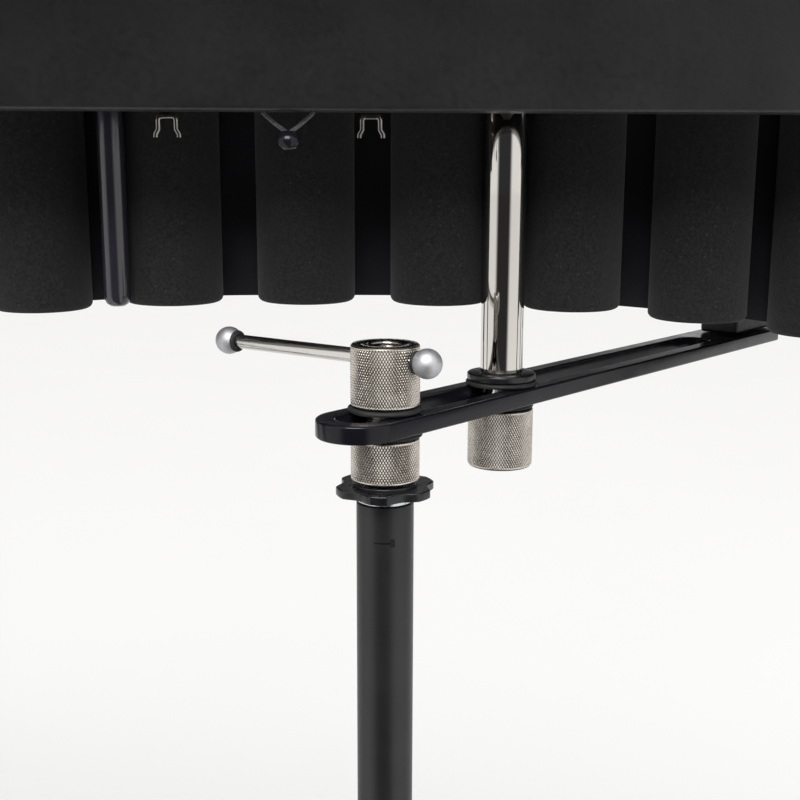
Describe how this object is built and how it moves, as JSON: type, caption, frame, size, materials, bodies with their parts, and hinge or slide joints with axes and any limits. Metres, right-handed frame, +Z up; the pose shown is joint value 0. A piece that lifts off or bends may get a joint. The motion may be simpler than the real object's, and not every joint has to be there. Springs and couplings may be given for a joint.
{
  "type": "vibraphone",
  "caption": "Three-octave vibraphone on a wheeled black frame, with tube resonators, motor fans and a pedal that works the damper bar through a slotted arm.",
  "frame": {"origin": "centre of the bounding box at floor level", "axes": "+X from the bass end to the treble end, -Y towards the player, +Z up"},
  "size_m": [1.36, 0.7468, 0.8905],
  "materials": {
    "frame_black": "satin black powder coat, slight orange peel",
    "gloss_black": "glossy black enamel",
    "tube_black": "matte flocked black, fine speckle",
    "bar_silver": "satin anodised, brushed along the bar",
    "nickel": "warm nickel plate, knurled",
    "chrome": "polished chrome",
    "satin_aluminium": "satin turned aluminium",
    "zinc": "bright zinc plate",
    "rubber": "matte black rubber",
    "tyre": "dark grey caster tread",
    "plastic": "black moulded plastic",
    "felt": "dense dark felt"
  },
  "bodies": {
    "frame": {"bass_foot_beam": "frame_black", "treble_foot_beam": "frame_black", "bass_front_upright": "frame_black", "bass_back_upright": "frame_black", "treble_front_upright": "frame_black", "treble_back_upright": "frame_black", "bass_top_beam": "frame_black", "treble_top_beam": "frame_black", "lower_cross_bar": "frame_black", "natural_outer_rail": "frame_black", "natural_inner_rail": "frame_black", "accidental_inner_rail": "frame_black", "accidental_outer_rail": "frame_black", "natural_bars": "bar_silver", "accidental_bars": "bar_silver", "natural_resonator_bank": "tube_black", "accidental_resonator_bank": "tube_black", "guide_saddle": "frame_black", "bass_wire_clip": "nickel", "treble_wire_clip": "nickel", "cord_knob": "plastic", "stay_rod": "gloss_black", "motor_box": "plastic", "drive_belt": "rubber", "bass_damper_spring": "nickel", "treble_damper_spring": "nickel"},
    "linkage": {"slotted_arm": "gloss_black", "pedal_rod": "gloss_black", "clamp_stud": "nickel", "upper_clamp_washer": "rubber", "lower_clamp_washer": "rubber", "zinc_washer": "zinc", "guide_rod": "chrome", "guide_flange": "plastic", "upper_guide_washer": "rubber", "lower_guide_washer": "rubber", "link_block": "frame_black", "damper_bar": "satin_aluminium", "damper_felt": "felt"},
    "lobed_nut": {"lobed_nut": "plastic"},
    "lock_nut": {"lock_nut": "nickel"},
    "clamp_nut": {"clamp_nut": "nickel"},
    "tommy_bar": {"tommy_bar": "satin_aluminium"},
    "gland_nut": {"gland_nut": "nickel"},
    "pedal": {"pedal": "frame_black"},
    "natural_fans": {"natural_fan_shaft": "satin_aluminium"},
    "accidental_fans": {"accidental_fan_shaft": "satin_aluminium"},
    "motor_pulley": {"motor_pulley": "satin_aluminium"},
    "speed_knob": {"speed_knob": "plastic"},
    "power_switch": {"power_switch": "plastic"},
    "bass_front_caster": {"bass_front_caster_fork": "zinc"},
    "bass_front_wheel": {"bass_front_caster_wheel": "tyre"},
    "bass_front_brake": {"bass_front_caster_brake": "plastic"},
    "bass_back_caster": {"bass_back_caster_fork": "zinc"},
    "bass_back_wheel": {"bass_back_caster_wheel": "tyre"},
    "treble_front_caster": {"treble_front_caster_fork": "zinc"},
    "treble_front_wheel": {"treble_front_caster_wheel": "tyre"},
    "treble_front_brake": {"treble_front_caster_brake": "plastic"},
    "treble_back_caster": {"treble_back_caster_fork": "zinc"},
    "treble_back_wheel": {"treble_back_caster_wheel": "tyre"}
  },
  "joints": [
    {"name": "damper_travel", "type": "slide", "parent": "frame", "child": "linkage", "axis": [0, 0, -1], "range_m": [0, 0.012], "stiffness_N_per_m": 2600, "springref_m": -0.03, "deforming": ["bass_damper_spring", "treble_damper_spring"]},
    {"name": "pedal_hinge", "type": "hinge", "parent": "frame", "child": "pedal", "pos_m": [0.04368, -0.077, 0.064], "axis": [1, 0, 0], "range_deg": [0, 4.9]},
    {"name": "clamp_nut_turn", "type": "hinge", "parent": "linkage", "child": "clamp_nut", "pos_m": [0.04368, -0.21958, 0.7115], "axis": [0, 0, 1], "range_deg": [-80, 245]},
    {"name": "tommy_bar_slide", "type": "slide", "parent": "clamp_nut", "child": "tommy_bar", "axis": [0.8577, -0.5141, 0], "range_m": [0, 0.0605]},
    {"name": "lobed_nut_turn", "type": "hinge", "parent": "linkage", "child": "lobed_nut", "pos_m": [0.04368, -0.21958, 0.67], "axis": [0, 0, 1], "continuous": true},
    {"name": "lock_nut_turn", "type": "hinge", "parent": "linkage", "child": "lock_nut", "pos_m": [0.04368, -0.21958, 0.681], "axis": [0, 0, 1], "continuous": true},
    {"name": "gland_nut_turn", "type": "hinge", "parent": "linkage", "child": "gland_nut", "pos_m": [0.08827, -0.16027, 0.677], "axis": [0, 0, 1], "continuous": true},
    {"name": "natural_fan_turn", "type": "hinge", "parent": "frame", "child": "natural_fans", "pos_m": [0, -0.1495, 0.86], "axis": [0.9975, 0.0709, 0], "continuous": true},
    {"name": "accidental_fan_turn", "type": "hinge", "parent": "frame", "child": "accidental_fans", "pos_m": [0, 0.1495, 0.86], "axis": [0.9975, -0.0709, 0], "continuous": true},
    {"name": "motor_pulley_turn", "type": "hinge", "parent": "frame", "child": "motor_pulley", "pos_m": [0.62, 0, 0.75], "axis": [1, 0, 0], "continuous": true},
    {"name": "speed_knob_turn", "type": "hinge", "parent": "frame", "child": "speed_knob", "pos_m": [0.654, -0.0603, 0.7757], "axis": [0, -1, 0], "range_deg": [0, 280]},
    {"name": "power_switch_rock", "type": "hinge", "parent": "frame", "child": "power_switch", "pos_m": [0.654, -0.0622, 0.7417], "axis": [1, 0, 0], "range_deg": [0, 8]},
    {"name": "bass_front_swivel", "type": "hinge", "parent": "frame", "child": "bass_front_caster", "pos_m": [-0.66, -0.31, 0.08], "axis": [0, 0, 1], "continuous": true},
    {"name": "bass_front_roll", "type": "hinge", "parent": "bass_front_caster", "child": "bass_front_wheel", "pos_m": [-0.636, -0.31, 0.0375], "axis": [0, 1, 0], "continuous": true},
    {"name": "bass_front_brake_press", "type": "hinge", "parent": "bass_front_caster", "child": "bass_front_brake", "pos_m": [-0.6095, -0.31, 0.079], "axis": [0, 1, 0], "range_deg": [0, 14]},
    {"name": "bass_back_swivel", "type": "hinge", "parent": "frame", "child": "bass_back_caster", "pos_m": [-0.66, 0.31, 0.08], "axis": [0, 0, 1], "continuous": true},
    {"name": "bass_back_roll", "type": "hinge", "parent": "bass_back_caster", "child": "bass_back_wheel", "pos_m": [-0.636, 0.31, 0.0375], "axis": [0, 1, 0], "continuous": true},
    {"name": "treble_front_swivel", "type": "hinge", "parent": "frame", "child": "treble_front_caster", "pos_m": [0.66, -0.31, 0.08], "axis": [0, 0, 1], "continuous": true},
    {"name": "treble_front_roll", "type": "hinge", "parent": "treble_front_caster", "child": "treble_front_wheel", "pos_m": [0.636, -0.31, 0.0375], "axis": [0, 1, 0], "continuous": true},
    {"name": "treble_front_brake_press", "type": "hinge", "parent": "treble_front_caster", "child": "treble_front_brake", "pos_m": [0.6095, -0.31, 0.079], "axis": [0, -1, 0], "range_deg": [0, 14]},
    {"name": "treble_back_swivel", "type": "hinge", "parent": "frame", "child": "treble_back_caster", "pos_m": [0.66, 0.31, 0.08], "axis": [0, 0, 1], "continuous": true},
    {"name": "treble_back_roll", "type": "hinge", "parent": "treble_back_caster", "child": "treble_back_wheel", "pos_m": [0.636, 0.31, 0.0375], "axis": [0, 1, 0], "continuous": true}
  ],
  "couplings": [
    {"joint": "pedal_hinge", "follows": "damper_travel", "rad_per_m": 7.0219},
    {"joint": "accidental_fan_turn", "follows": "natural_fan_turn", "ratio": 1},
    {"joint": "motor_pulley_turn", "follows": "natural_fan_turn", "ratio": 1.5}
  ]
}
